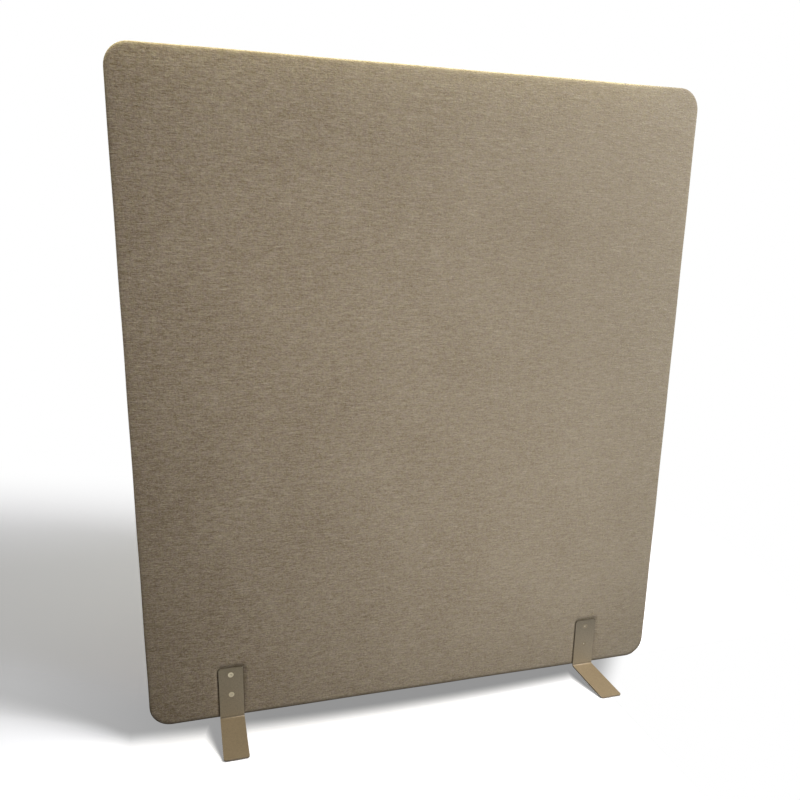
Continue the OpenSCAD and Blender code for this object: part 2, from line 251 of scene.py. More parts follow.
# From underneath the floor is clear, so that the screen shows.
side = add(tree, "ShaderNodeNewGeometry")
clear = add(tree, "ShaderNodeBsdfTransparent")
both = add(tree, "ShaderNodeMixShader",
           {0: side.outputs["Backfacing"], 1: either.outputs[0], 2: clear.outputs[0]})
add(tree, "ShaderNodeOutputMaterial", {"Surface": both.outputs[0]})

bpy.ops.mesh.primitive_circle_add(vertices=96, radius=floor_radius, fill_type="NGON")
floor = bpy.context.object
floor.name = "floor"
floor.data.materials.append(floor_paint)

world = bpy.data.worlds.new("studio")
bpy.context.scene.world = world
tree = new_tree(world)
seen = background_rays(tree)
dim = add(tree, "ShaderNodeBackground", {"Color": (1, 1, 1, 1), "Strength": world_light})
bright = add(tree, "ShaderNodeBackground", {"Color": (1, 1, 1, 1), "Strength": 1.0})
either = add(tree, "ShaderNodeMixShader", {0: seen.outputs[0], 1: dim.outputs[0], 2: bright.outputs[0]})
add(tree, "ShaderNodeOutputWorld", {"Surface": either.outputs[0]})


# Lamps: soft boxes. The key stands high to the right and throws the shadow to the left and back. A
# low one and a near one fill the front, and a wide one fills the back. Two strips pick out the edges:
# one close over the top gives the golden rim, and one with a narrow beam stands on the left.

def softbox(name, place, aim, width, height, power, colour=(1, 1, 1), spread=pi):
    """A rectangular soft box at place, turned so that its face looks at aim. A honeycomb on its face
    narrows the beam to the spread angle."""
    lamp = bpy.data.lights.new(name, "AREA")
    lamp.shape = "RECTANGLE"
    lamp.size = width
    lamp.size_y = height
    lamp.energy = power
    lamp.color = colour
    lamp.spread = spread
    box = bpy.data.objects.new(name, lamp)
    box.location = place
    box.rotation_euler = (Vector(aim) - Vector(place)).to_track_quat("-Z", "Y").to_euler()
    box.visible_camera = False
    bpy.context.scene.collection.objects.link(box)


# Each box has its place, its aim, its width and height, and its power in watts.
panel_middle = (0, 0, 0.68)
softbox("key_box", (1.6, -1.2, 2.5), panel_middle, 0.6, 0.6, 68.5)
softbox("front_box", (0.35, -0.85, 0.3), panel_middle, 0.7, 0.5, 3.9)
softbox("near_box", (-0.27, -0.6, 1.0), (-0.2, 0, 1.0), 0.5, 0.5, 0.65, (1, 0.98, 0.9))
softbox("back_box", (0.5, 4.0, 0.35), panel_middle, 2.2, 0.5, 95)
softbox("top_strip", (-0.1, -0.016, 1.436), (-0.1, -0.016, 1.35), 1.2, 0.05, 2.3, (1, 0.985, 0.62))
softbox("side_box", (-1.5, 0.05, 0.8), (-0.6, 0, 0.8), 0.3, 1.0, 0.85, (1, 1, 1), radians(60))


# Timber frame: two stiles and three rails of planed pine, glued and dowelled. The wood is pale
# yellow with darker late-wood lines along each member.

def new_material(name, **shader):
    """A material with one Principled shader, whose sockets get the plain values given by name."""
    made = bpy.data.materials.new(name)
    tree = new_tree(made)
    sockets = {key.replace("_", " "): value for key, value in shader.items()}
    principled = add(tree, "ShaderNodeBsdfPrincipled", sockets)
    add(tree, "ShaderNodeOutputMaterial", {"Surface": principled.outputs[0]})
    return made, tree, principled


def wear(material, *names):
    """Gives CAD nodes a material in place of their own."""
    for name in names:
        nodes[name].data.materials.clear()
        nodes[name].data.materials.append(material)


pine_dark = linear("#b98f57")
pine_light = linear("#dcc08e")
growth_line_mm = 4.0
line_stretch = 0.06
fibre_mm = (0.5, 14.0)

# A Wave texture's bands are 2 pi / 20 of a metre apart at scale 1, or twice that on the diagonal.
wave_mm = 1000 * 2 * pi / 20

for grain, turned, members in (
    ("pine_upright", 0.0, ("left_stile", "right_stile")),
    ("pine_across", pi / 2, ("top_rail", "middle_rail", "bottom_rail")),
):
    pine, tree, shader = new_material(grain, Roughness=0.62)
    place = add(tree, "ShaderNodeTexCoord")
    place = add(tree, "ShaderNodeMapping",
                {"Vector": place.outputs["Object"], "Rotation": (0, turned, 0)})
    stretch = add(tree, "ShaderNodeMapping", {"Vector": place.outputs[0], "Scale": (1, 1, line_stretch)})
    line = add(tree, "ShaderNodeTexWave",
               {"Vector": stretch.outputs[0], "Scale": wave_mm / growth_line_mm, "Distortion": 3.0,
                "Detail": 2.0, "Detail Scale": 2.0},
               bands_direction="X")
    fibre = add(tree, "ShaderNodeMapping",
                {"Vector": place.outputs[0],
                 "Scale": (1000 / fibre_mm[0], 1000 / fibre_mm[0], 1000 / fibre_mm[1])})
    fibre = add(tree, "ShaderNodeTexNoise", {"Vector": fibre.outputs[0], "Scale": 1.0, "Detail": 3.0})
    blend = add(tree, "ShaderNodeMath", {0: line.outputs["Fac"], 1: fibre.outputs["Fac"]},
                operation="MULTIPLY")
    colour = add(tree, "ShaderNodeMixRGB",
                 {"Fac": blend.outputs[0], "Color1": pine_light, "Color2": pine_dark})
    tree.links.new(colour.outputs[0], shader.inputs["Base Color"])
    bump = add(tree, "ShaderNodeBump",
               {"Height": fibre.outputs["Fac"], "Strength": 0.4, "Distance": 0.0002})
    tree.links.new(bump.outputs[0], shader.inputs["Normal"])
    wear(pine, *members)


# Dowels: fluted beech pegs, 8 mm thick, two in each joint. Beech is pinkish and closed, with
# short darker flecks.

beech_light = linear("#dec39a")
beech_fleck = linear("#b58d63")
fleck_mm = (0.6, 3.0)

beech, tree, shader = new_material("turned_beech", Roughness=0.55)
place = add(tree, "ShaderNodeTexCoord")
fleck = add(tree, "ShaderNodeMapping",
            {"Vector": place.outputs["Object"],
             "Scale": (1000 / fleck_mm[1], 1000 / fleck_mm[0], 1000 / fleck_mm[0])})
fleck = add(tree, "ShaderNodeTexNoise", {"Vector": fleck.outputs[0], "Scale": 1.0, "Detail": 2.0})
sharp = add(tree, "ShaderNodeMapRange",
            {"Value": fleck.outputs["Fac"], "From Min": 0.5, "From Max": 0.75})
colour = add(tree, "ShaderNodeMixRGB",
             {"Fac": sharp.outputs[0], "Color1": beech_light, "Color2": beech_fleck})
tree.links.new(colour.outputs[0], shader.inputs["Base Color"])
wear(beech, "top_rail_dowels", "middle_rail_dowels", "bottom_rail_dowels")


# Foot blocks: birch plywood glued in the frame's lower corners, where the feet are screwed on.
# Its plies lie parallel to the panel's faces, so the block's edges show their stripes.

ply_pale = linear("#d3b689")
ply_dark = linear("#a27a4c")
ply_mm = 1.4
mottle_mm = 11.11

plywood, tree, shader = new_material("birch_plywood", Roughness=0.6)
place = add(tree, "ShaderNodeTexCoord")
plies = add(tree, "ShaderNodeTexWave",
            {"Vector": place.outputs["Object"], "Scale": wave_mm / ply_mm, "Distortion": 0.4},
            bands_direction="Y")
mottle = add(tree, "ShaderNodeTexNoise",
             {"Vector": place.outputs["Object"], "Scale": 1000 / mottle_mm, "Detail": 4.0})
blend = add(tree, "ShaderNodeMath", {0: plies.outputs["Fac"], 1: mottle.outputs["Fac"]},
            operation="MULTIPLY")
colour = add(tree, "ShaderNodeMixRGB", {"Fac": blend.outputs[0], "Color1": ply_pale, "Color2": ply_dark})
tree.links.new(colour.outputs[0], shader.inputs["Base Color"])
wear(plywood, "left_foot_block", "right_foot_block")


# Block screws and staples: steel wire and screws with yellowish zinc plating, which is a little
# cloudy. The screws hold the blocks through the bottom rail.

zinc_pale = linear("#c9c5b4")
zinc_cloud = linear("#a39a80")
cloud_mm = 2.5

zinc, tree, shader = new_material("zinc_plated_steel", Metallic=1.0, Roughness=0.35)
place = add(tree, "ShaderNodeTexCoord")
cloud = add(tree, "ShaderNodeTexNoise",
            {"Vector": place.outputs["Object"], "Scale": 1000 / cloud_mm, "Detail": 3.0})
colour = add(tree, "ShaderNodeMixRGB",
             {"Fac": cloud.outputs["Fac"], "Color1": zinc_pale, "Color2": zinc_cloud})
tree.links.new(colour.outputs[0], shader.inputs["Base Color"])
wear(zinc, "left_block_screws", "right_block_screws", "closing_staples")


# Threaded inserts: turned brass, pressed into the blocks from both faces. Fine tool marks run
# round each one.

brass_pale = linear("#cdaa5c")
brass_dull = linear("#8f7238")
mark_mm = (8.33, 0.4)

brass, tree, shader = new_material("turned_brass", Metallic=1.0, Roughness=0.3)
place = add(tree, "ShaderNodeTexCoord")
marks = add(tree, "ShaderNodeMapping",
            {"Vector": place.outputs["Object"],
             "Scale": (1000 / mark_mm[0], 1000 / mark_mm[1], 1000 / mark_mm[0])})
marks = add(tree, "ShaderNodeTexNoise", {"Vector": marks.outputs[0], "Scale": 1.0, "Detail": 2.0})
colour = add(tree, "ShaderNodeMixRGB",
             {"Fac": marks.outputs["Fac"], "Color1": brass_pale, "Color2": brass_dull})
tree.links.new(colour.outputs[0], shader.inputs["Base Color"])
wear(brass, "left_inserts", "right_inserts")


# Acoustic batts: two slabs of pressed polyester fibre between the rails, the lower one notched
# round the foot blocks. Their faces are soft and a little uneven.

def lines(marks, step):
    """Grid lines through all the marks, with each stretch between two cut evenly, no wider than step."""
    parts = [
        np.linspace(low, high, max(1, int(np.ceil((high - low) / step))) + 1)[:-1]
        for low, high in zip(marks[:-1], marks[1:])
    ]
    return np.concatenate([*parts, [marks[-1]]])


def new_piece(name, points, quads, material, uv=None, triangles=()):
    """A smooth mesh object at the origin, from arrays of points and of faces, riding on the body."""
    mesh = bpy.data.meshes.new(name)
    mesh.from_pydata(points.tolist(), [], quads.tolist() + [list(t) for t in triangles])
    mesh.shade_smooth()
    if uv is not None:
        corners = np.zeros(len(mesh.loops), np.int32)
        mesh.loops.foreach_get("vertex_index", corners)
        mesh.uv_layers.new(name="cloth").data.foreach_set("uv", uv[corners].astype(np.float32).ravel())
    mesh.materials.append(material)
    piece = bpy.data.objects.new(name, mesh)
    bpy.context.scene.collection.objects.link(piece)
    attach(piece, "root")
    return piece


def slab(xs, zs, keep, near, far):
    """A closed slab over the grid cells that keep marks: a near and a far sheet of points at the
    depths near(x, z) and far(x, z), with walls wherever a kept cell has no neighbour."""
    x, z = np.meshgrid(xs, zs, indexing="ij")
    sheet = np.stack([x.ravel(), np.zeros(x.size), z.ravel()], 1)
    front = sheet + np.stack([0 * x.ravel(), near(x, z).ravel(), 0 * x.ravel()], 1)
    back = sheet + np.stack([0 * x.ravel(), far(x, z).ravel(), 0 * x.ravel()], 1)
    index = np.arange(x.size).reshape(x.shape)
    a, b, c, d = index[:-1, :-1], index[1:, :-1], index[1:, 1:], index[:-1, 1:]
    wide = np.pad(keep, 1)
    ends = (
        (~wide[:-2, 1:-1], a, d),
        (~wide[2:, 1:-1], c, b),
        (~wide[1:-1, :-2], b, a),
        (~wide[1:-1, 2:], d, c),
    )
    faces = [
        np.stack([a[keep], b[keep], c[keep], d[keep]], 1),
        np.stack([d[keep], c[keep], b[keep], a[keep]], 1) + x.size,
    ]
    for open_side, start, stop in ends:
        wall = keep & open_side
        faces.append(np.stack([start[wall], stop[wall], stop[wall] + x.size, start[wall] + x.size], 1))
    used, faces = np.unique(np.concatenate(faces), return_inverse=True)
    return np.concatenate([front, back])[used], faces.reshape(-1, 4)


batt_light = linear("#c4c1b2")
batt_dark = linear("#8f8b7c")
fluff_mm = 6.0

batt_felt, tree, shader = new_material("polyester_acoustic_felt", Roughness=1.0, Specular_IOR_Level=0.2)
place = add(tree, "ShaderNodeTexCoord")
fluff = add(tree, "ShaderNodeTexNoise",
            {"Vector": place.outputs["Object"], "Scale": 1000 / fluff_mm, "Detail": 6.0,
             "Roughness": 0.7})
colour = add(tree, "ShaderNodeMixRGB",
             {"Fac": fluff.outputs["Fac"], "Color1": batt_dark, "Color2": batt_light})
tree.links.new(colour.outputs[0], shader.inputs["Base Color"])
bump = add(tree, "ShaderNodeBump",
           {"Height": fluff.outputs["Fac"], "Strength": 0.8, "Distance": 0.0008})
tree.links.new(bump.outputs[0], shader.inputs["Normal"])

batt_step = 0.02
batt_unevenness = 0.0004
block_low, block_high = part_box("left_foot_block")
block_play = 0.0005
notch_x = block_high.x + block_play
notch_z = block_high.z + block_play
inner_x = block_low.x - block_play


def uneven(x, z):
    """Low waves: the product of two sines across the batt, about 90 mm long."""
    return batt_unevenness * (1 + np.sin(71 * x + 13 * z) * np.sin(64 * z - 9 * x)) / 2


for name in ("upper_core", "lower_core"):
    low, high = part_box(name)
    x_marks = [low.x, inner_x, notch_x, -notch_x, -inner_x, high.x]
    z_marks = [low.z, notch_z, high.z] if name == "lower_core" else [low.z, high.z]
    xs = lines(x_marks, batt_step)
    zs = lines(z_marks, batt_step)
    mid_x, mid_z = np.meshgrid((xs[1:] + xs[:-1]) / 2, (zs[1:] + zs[:-1]) / 2, indexing="ij")
    at_block = (np.abs(mid_x) > -notch_x) & (np.abs(mid_x) < -inner_x) & (mid_z < notch_z)
    keep = ~at_block if name == "lower_core" else np.ones(at_block.shape, bool)
    points, faces = slab(xs, zs, keep,
                         lambda x, z: low.y + uneven(x, z),
                         lambda x, z: high.y - uneven(x, z))
    batt = new_piece(name.replace("core", "batt"), points, faces, batt_felt)
    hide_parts(name)


# Covers: each face wears one piece of melange upholstery cloth, cut larger than the face, drawn
# round the padded edge and turned in along a seam in the middle of the edge.

panel_low, panel_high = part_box("front_cover")
half_w = (panel_high.x - panel_low.x) / 2
half_h = (panel_high.z - panel_low.z) / 2
mid_z = (panel_high.z + panel_low.z) / 2
face_out = -panel_low.y
plate_half_w = (foot_high.x - foot_low.x) / 2
plate_top = foot_high.z

corner_r = 0.045
cloth_t = 0.001
crown = 0.0027
crown_power = 12
face_wave = 0.00012
edge_wave = 0.00025
edge_reach = 0.036
edge_power = 11.0
lip_gap = 0.00006
turned_in = 0.0042
turned_in_below = 0.0015
lip_height = 0.004
plate_corner_r = 0.006
plate_play = 0.00005
dip_reach = 0.010
screw_hole_r = 0.0037
screw_low, screw_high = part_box("left_front_screws")
screw_head_r = (screw_high.x - screw_low.x) / 2
screw_heights = (screw_low.z + screw_head_r, screw_high.z - screw_head_r)
arc_cuts = 9
fine_step = 0.002
coarse_step = 0.012


def loop(xs, zs, inset):
    """The panel's outline drawn in by inset, as points (x, z) and directions outwards. It runs along
    the bottom, up the right side, back over the top and down the left, with an arc at each corner."""
    bend = np.linspace(0, pi / 2, arc_cuts + 2)[1:-1]
    reach = corner_r - inset
    side_x, side_z = xs[-1], zs[-1] - mid_z
    points, outward = [], []
    for quarter, along in enumerate((xs, zs - mid_z, -xs[::-1], mid_z - zs[::-1])):
        turn = quarter * pi / 2
        far = side_z if quarter % 2 == 0 else side_x
        end = side_x if quarter % 2 == 0 else side_z
        flat = np.stack([along, np.full(along.shape, -far - reach)], 1)
        arc = np.stack([end + reach * np.sin(bend), -far - reach * np.cos(bend)], 1)
        normals = np.concatenate([
            np.tile([0.0, -1.0], (len(along), 1)),
            np.stack([np.sin(bend), -np.cos(bend)], 1),
        ])
        spin = np.array([[np.cos(turn), np.sin(turn)], [-np.sin(turn), np.cos(turn)]])
        points.append(np.concatenate([flat, arc]) @ spin)
        outward.append(normals @ spin)
    return np.concatenate(points) + [0, mid_z], np.concatenate(outward)


def edge_curve(inset, start, reach, depth, power, cuts):
    """A quarter of a superellipse, in (inset, out), as |a|^power + |b|^power = 1: it rises from the
    edge at out = start and runs out flat at out = depth, reach further in."""
    t = np.linspace(0, pi / 2, cuts + 1)
    out = start + (depth - start) * np.sin(t) ** (2 / power)
    inward = inset + reach * (1 - np.cos(t) ** (2 / power))
    return np.stack([inward, out], 1)


def plate_distance(x, z):
    """Distance from the outline of the nearer foot plate, below 0 inside it."""
    across = np.abs(np.abs(x) - foot_x) - (plate_half_w - plate_corner_r)
    up = z - (plate_top - plate_corner_r)
    outside = np.hypot(np.maximum(across, 0), np.maximum(up, 0))
    return outside + np.minimum(np.maximum(across, up), 0) - plate_corner_r


def padded_out(x, z, out, depth):
    """How far the padding stands out after the feet are screwed on. Free of them it is a low crown,
    (1 - x^12) (1 - z^12) over the face, with faint waves. Under a plate it is held at depth, and it
    rises to its free height in a smooth step within dip_reach of the plate."""
    t = np.clip(plate_distance(x, z) / dip_reach, 0, 1)
    ease = t * t * (3 - 2 * t)
    dome = (1 - (x / half_w) ** crown_power) * (1 - ((z - mid_z) / half_h) ** crown_power)
    waves = np.sin(23 * x + 7 * z) * np.sin(17 * z - 5 * x + 1.3) + 0.6 * np.sin(41 * x - 11 * z)
    free = out * (1 + np.clip(dome, 0, 1) * crown / face_out)
    free = free + face_wave * waves * (out / face_out) ** 6
    return np.minimum(free, depth) + (free - np.minimum(free, depth)) * ease


def tray(xs, zs, section, depth, side):
    """One surface of a tray over a face of the panel: a ring of points for each point of the section,
    from the seam inwards, then a grid inside the last ring. Returns points, faces and cloth places."""
    rings, places = [], []
    base, normals = loop(xs, zs, corner_r)
    steps = np.hypot(*np.diff(section, axis=0).T)
    face_run = np.concatenate([np.cumsum(steps[::-1])[::-1], [0]]) + corner_r - section[-1, 0]
    below = np.clip(-normals[:, 1], 0, 1)
    for k, (inset, out) in enumerate(section):
        drawn = np.full(len(base), inset)
        if k == 0 and inset == turned_in:
            drawn = inset + (turned_in_below - inset) * below
        ripple = edge_wave * np.sin(19 * base[:, 0] + 26 * base[:, 1]) * (1 - inset / corner_r) ** 2
        ring = base + normals * (corner_r - drawn + ripple)[:, None]
        high = padded_out(ring[:, 0], ring[:, 1], np.full(len(base), out), depth)
        rings.append(np.stack([ring[:, 0], side * high, ring[:, 1]], 1))
        places.append(base + normals * face_run[k])
    x, z = np.meshgrid(xs, zs, indexing="ij")
    high = padded_out(x, z, np.full(x.shape, section[-1, 1]), depth)
    grid = np.stack([x, side * high, z], 2).reshape(-1, 3)
    inner = np.arange(x.size).reshape(x.shape) + len(base) * len(section)
    corner = np.ones(arc_cuts, int)
    border = np.concatenate([
        inner[:, 0], corner * inner[-1, 0], inner[-1, :], corner * inner[-1, -1],
        inner[::-1, -1], corner * inner[0, -1], inner[0, ::-1], corner * inner[0, 0],
    ])
    index = np.vstack([np.arange(len(base) * len(section)).reshape(len(section), -1), border])
    ahead = np.roll(index, -1, 1)
    quads = np.stack([index[:-1], ahead[:-1], ahead[1:], index[1:]], 2).reshape(-1, 4)
    cells = np.stack([inner[:-1, :-1], inner[1:, :-1], inner[1:, 1:], inner[:-1, 1:]], 2).reshape(-1, 4)
    cell_x = (x[:-1, :-1] + x[1:, 1:]).ravel() / 2
    cell_z = (z[:-1, :-1] + z[1:, 1:]).ravel() / 2
    bored = np.zeros(len(cells), bool)
    for screw_z in screw_heights:
        bored |= np.hypot(np.abs(cell_x) - foot_x, cell_z - screw_z) < screw_hole_r
    pinched = quads[:, 2] == quads[:, 3]
    faces = np.concatenate([quads[~pinched], cells[~bored]])
    fans = quads[pinched][:, :3]
    if side > 0:
        faces, fans = faces[:, ::-1], fans[:, ::-1]
    uv = np.concatenate([*places, np.stack([x.ravel(), z.ravel()], 1)])
    return np.concatenate([*rings, grid]), faces, fans, uv


straight_x = half_w - corner_r
straight_low = mid_z - half_h + corner_r
straight_high = mid_z + half_h - corner_r
near_foot = plate_half_w + dip_reach
x_marks = [-straight_x, -foot_x - near_foot, near_foot - foot_x, foot_x - near_foot, foot_x + near_foot,
           straight_x]
fine = [lines(x_marks[i:i + 2], fine_step if i % 2 else coarse_step)[:-1] for i in range(5)]
cloth_xs = np.concatenate([*fine, [straight_x]])
cloth_zs = np.concatenate([
    lines([straight_low, plate_top + 2 * dip_reach], fine_step)[:-1],
    lines([plate_top + 2 * dip_reach, straight_high], coarse_step),
])

# The cloth's section in (inset, out): the lip comes out from the seam and the bulge takes over.
lip = np.array([
    [turned_in, lip_gap], [0.0013, lip_gap], [0.0005, 0.00035], [0.00012, 0.0009], [0, 0.0018],
])
bulge = edge_curve(0, 0, edge_reach, face_out, edge_power, 22)
cloth_section = np.concatenate([lip, bulge[bulge[:, 1] > lip_height]])

# The cloth is woven from mixed dark and light yarns, so it looks streaked along the weft, with brown
# specks, cream slubs, and olive and mauve patches. It is painted a little darker low on the left, as
# painted shade. Its yarns, about 0.5 mm apart, are drawn at 1.6 mm so that they show.
yarn_dark = linear("#66553f")
yarn_light = linear("#b2a793")
speck_brown = linear("#453b2f")
slub_cream = linear("#cabda5")
# Painted shade for the cloth: by the feet's plates and along the lower rim.
crease_shade = linear("#2e271f")
crease_depth = 0.75
crease_reach = 0.0035
shade_above = 0.36
shade_reach = 0.014
rim_painted_shade = 0.85
rim_height = 0.011
tint_olive = (1.005, 1.017, 0.962, 1)
tint_mauve = (0.997, 0.982, 1.041, 1)
tint_straw = (1.022, 1.0, 0.978, 1)
tint_slate = (0.978, 1.0, 1.022, 1)
tint_left = (1.012, 0.982, 0.970, 1)
tint_right = (0.988, 1.007, 1.034, 1)
# darker_x, darker_z and the tint below paint shade into the cloth, low on the left.
darker_x = (-0.40, -0.60)
darker_z = (1.0, 0.0)
painted_shade_tint = (0.79, 0.78, 0.76, 1)
yarn_mm = 1.6
streaks_mm = (("long", 24.0), ("short", 6.0))
row_shifts = (17.31, 9.47)
dye_power = 1.6
dye_share = (0.76, 0.68)
downward_share = (1.03, 1.16)
hue_range = 0.17
dye_range = (0.33, 0.67)

melange, tree, shader = new_material(
    "melange_upholstery_cloth", Roughness=0.95, Specular_IOR_Level=0.15,
    Sheen_Weight=0.15, Sheen_Roughness=0.45, Sheen_Tint=(1, 0.93, 0.8, 1),
)
cloth_place = add(tree, "ShaderNodeUVMap", uv_map="cloth")
axes = add(tree, "ShaderNodeSeparateXYZ", {0: cloth_place.outputs[0]})

# Each yarn is a row across the cloth, and its streaks slide along it by a different jump.
yarns = {}
for run, across, along, shift in (("weft", 1, 0, row_shifts[0]), ("warp", 0, 1, row_shifts[1])):
    count = add(tree, "ShaderNodeMath", {0: axes.outputs[across], 1: 1000 / yarn_mm},
                operation="MULTIPLY")
    row = add(tree, "ShaderNodeMath", {0: count.outputs[0]}, operation="FLOOR")
    jump = add(tree, "ShaderNodeMath", {0: row.outputs[0], 1: shift}, operation="MULTIPLY")
    for streak, length_mm in streaks_mm:
        slide = add(tree, "ShaderNodeMath",
                    {0: axes.outputs[along], 1: 1000 / length_mm, 2: jump.outputs[0]},
                    operation="MULTIPLY_ADD")
        point = add(tree, "ShaderNodeCombineXYZ", {0: slide.outputs[0], 1: jump.outputs[0]})
        tone = add(tree, "ShaderNodeTexNoise", {"Vector": point.outputs[0], "Scale": 1.0, "Detail": 1.0},
                   noise_dimensions="2D")
        yarns[run, streak] = tone.outputs["Fac"]
clouds = {}
for name, size_mm, detail, rough in (
    ("hue", 11.0, 3.0, 0.75), ("dye", 3.5, 1.0, 0.5), ("tone", 160.0, 2.0, 0.5), ("lump", 9.0, 3.0, 0.5),
):
    made = add(tree, "ShaderNodeTexNoise",
               {"Vector": cloth_place.outputs[0], "Scale": 1000 / size_mm, "Detail": detail,
                "Roughness": rough},
               noise_dimensions="2D")
    clouds[name] = made.outputs["Fac"]

# The tone from dark to light yarn: each part about its middle, times its weight. It is livelier on
# the left and low down.
parts = (
    (yarns["weft", "long"], 0.42), (yarns["weft", "short"], 0.50), (yarns["warp", "long"], 0.12),
    (yarns["warp", "short"], 0.16), (clouds["tone"], 0.12), (clouds["lump"], 0.10),
)
total = None
for part, weight in parts:
    centred = add(tree, "ShaderNodeMath", {0: part, 1: 0.5}, operation="SUBTRACT")
    rest = 0.5 if total is None else total.outputs[0]
    total = add(tree, "ShaderNodeMath", {0: centred.outputs[0], 1: weight, 2: rest},
                operation="MULTIPLY_ADD")
from_right = add(tree, "ShaderNodeMapRange",
                 {"Value": axes.outputs[0], "From Min": half_w, "From Max": -half_w})
uneven_dye = add(tree, "ShaderNodeMath", {0: from_right.outputs[0], 1: dye_power}, operation="POWER")
uneven_dye = add(tree, "ShaderNodeMath", {0: uneven_dye.outputs[0], 1: dye_share[1], 2: dye_share[0]},
                 operation="MULTIPLY_ADD")
downwards = add(tree, "ShaderNodeMapRange",
                {"Value": axes.outputs[1], "From Min": 1.0, "From Max": 0.1,
                 "To Min": downward_share[0], "To Max": downward_share[1]})
uneven_dye = add(tree, "ShaderNodeMath", {0: uneven_dye.outputs[0], 1: downwards.outputs[0]},
                 operation="MULTIPLY")
centred = add(tree, "ShaderNodeMath", {0: total.outputs[0], 1: 0.5}, operation="SUBTRACT")
total = add(tree, "ShaderNodeMath", {0: centred.outputs[0], 1: uneven_dye.outputs[0], 2: 0.5},
            operation="MULTIPLY_ADD")
fibres = add(tree, "ShaderNodeMixRGB",
             {"Fac": total.outputs[0], "Color1": yarn_dark, "Color2": yarn_light})

# Where a weft streak's noise goes from start to end, specks and slubs appear, up to their share.
for streak, start, end, share, shown_colour in (
    ("short", 0.76, 0.84, 0.30, speck_brown),
    ("short", 0.25, 0.17, 0.45, slub_cream),
    ("long", 0.70, 0.80, 0.10, slub_cream),
):
    spot = add(tree, "ShaderNodeMapRange",
               {"Value": yarns["weft", streak], "From Min": start, "From Max": end, "To Max": share})
    fibres = add(tree, "ShaderNodeMixRGB",
                 {"Fac": spot.outputs[0], "Color1": fibres.outputs[0], "Color2": shown_colour})

# The tints multiply the yarns' colour: patches, the dye of single spots, and the slow change across.
centred = add(tree, "ShaderNodeMath", {0: clouds["hue"], 1: 0.5}, operation="SUBTRACT")
hue = add(tree, "ShaderNodeMath", {0: centred.outputs[0], 1: uneven_dye.outputs[0]}, operation="MULTIPLY")
hue = add(tree, "ShaderNodeMapRange",
          {"Value": hue.outputs[0], "From Min": -hue_range, "From Max": hue_range})
tint = add(tree, "ShaderNodeMixRGB", {"Fac": hue.outputs[0], "Color1": tint_olive, "Color2": tint_mauve})
dye = add(tree, "ShaderNodeMapRange",
          {"Value": clouds["dye"], "From Min": dye_range[0], "From Max": dye_range[1]})
dye = add(tree, "ShaderNodeMixRGB", {"Fac": dye.outputs[0], "Color1": tint_straw, "Color2": tint_slate})
tint = add(tree, "ShaderNodeMixRGB", {"Fac": 1.0, "Color1": tint.outputs[0], "Color2": dye.outputs[0]},
           blend_type="MULTIPLY")
across = add(tree, "ShaderNodeMapRange",
             {"Value": axes.outputs[0], "From Min": -half_w, "From Max": half_w})
slow_tint = add(tree, "ShaderNodeMixRGB",
                {"Fac": across.outputs[0], "Color1": tint_left, "Color2": tint_right})
tint = add(tree, "ShaderNodeMixRGB",
           {"Fac": 1.0, "Color1": tint.outputs[0], "Color2": slow_tint.outputs[0]},
           blend_type="MULTIPLY")
cloth_colour = add(tree, "ShaderNodeMixRGB",
                   {"Fac": 1.0, "Color1": fibres.outputs[0], "Color2": tint.outputs[0]},
                   blend_type="MULTIPLY")
# Painted shade: the cloth is made darker low on the left.
at_left = add(tree, "ShaderNodeMapRange",
              {"Value": axes.outputs[0], "From Min": darker_x[0], "From Max": darker_x[1]})
low_down = add(tree, "ShaderNodeMapRange",
               {"Value": axes.outputs[1], "From Min": darker_z[0], "From Max": darker_z[1]})
painted_shade_low_left = add(tree, "ShaderNodeMath", {0: at_left.outputs[0], 1: low_down.outputs[0]},
             operation="MULTIPLY")
cloth_colour = add(tree, "ShaderNodeMixRGB",
                   {"Fac": painted_shade_low_left.outputs[0], "Color1": cloth_colour.outputs[0], "Color2": painted_shade_tint},
                   blend_type="MULTIPLY")
# Painted shade from the attribute, by the plates and along the lower rim.
painted_crease_and_rim_shade = add(tree, "ShaderNodeAttribute", attribute_name="painted_crease_and_rim_shade")
cloth_colour = add(tree, "ShaderNodeMixRGB",
                   {"Fac": painted_crease_and_rim_shade.outputs["Fac"], "Color1": cloth_colour.outputs[0],
                    "Color2": crease_shade})
tree.links.new(cloth_colour.outputs[0], shader.inputs["Base Color"])
bump = add(tree, "ShaderNodeBump", {"Height": total.outputs[0], "Strength": 1.0, "Distance": 0.0009})
tree.links.new(bump.outputs[0], shader.inputs["Normal"])

